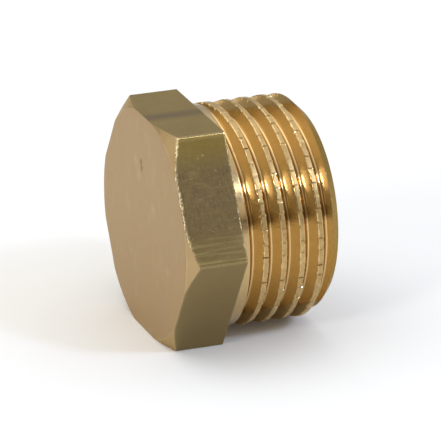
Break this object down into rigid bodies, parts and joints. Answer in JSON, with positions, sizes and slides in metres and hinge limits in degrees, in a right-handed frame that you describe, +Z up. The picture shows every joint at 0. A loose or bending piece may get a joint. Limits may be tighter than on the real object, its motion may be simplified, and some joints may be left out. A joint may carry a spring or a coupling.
{
  "type": "hexagon head plug",
  "caption": "Brass hexagon head plug with a right-hand parallel pipe thread and a drilled blind core, for closing a threaded pipe end or fitting.",
  "frame": {"origin": "on the thread's axis, in the plane of the head's underside", "axes": "+X along the thread's axis, from the head towards the open end; +Z up, out of the top flat of the hexagon, as the plug lies on the opposite flat"},
  "size_m": [0.0155, 0.0242, 0.021],
  "materials": {
    "brass": "turned brass, satin on the hexagon and the face, brighter in the thread"
  },
  "bodies": {
    "root": {"plug": "brass"}
  },
  "joints": []
}
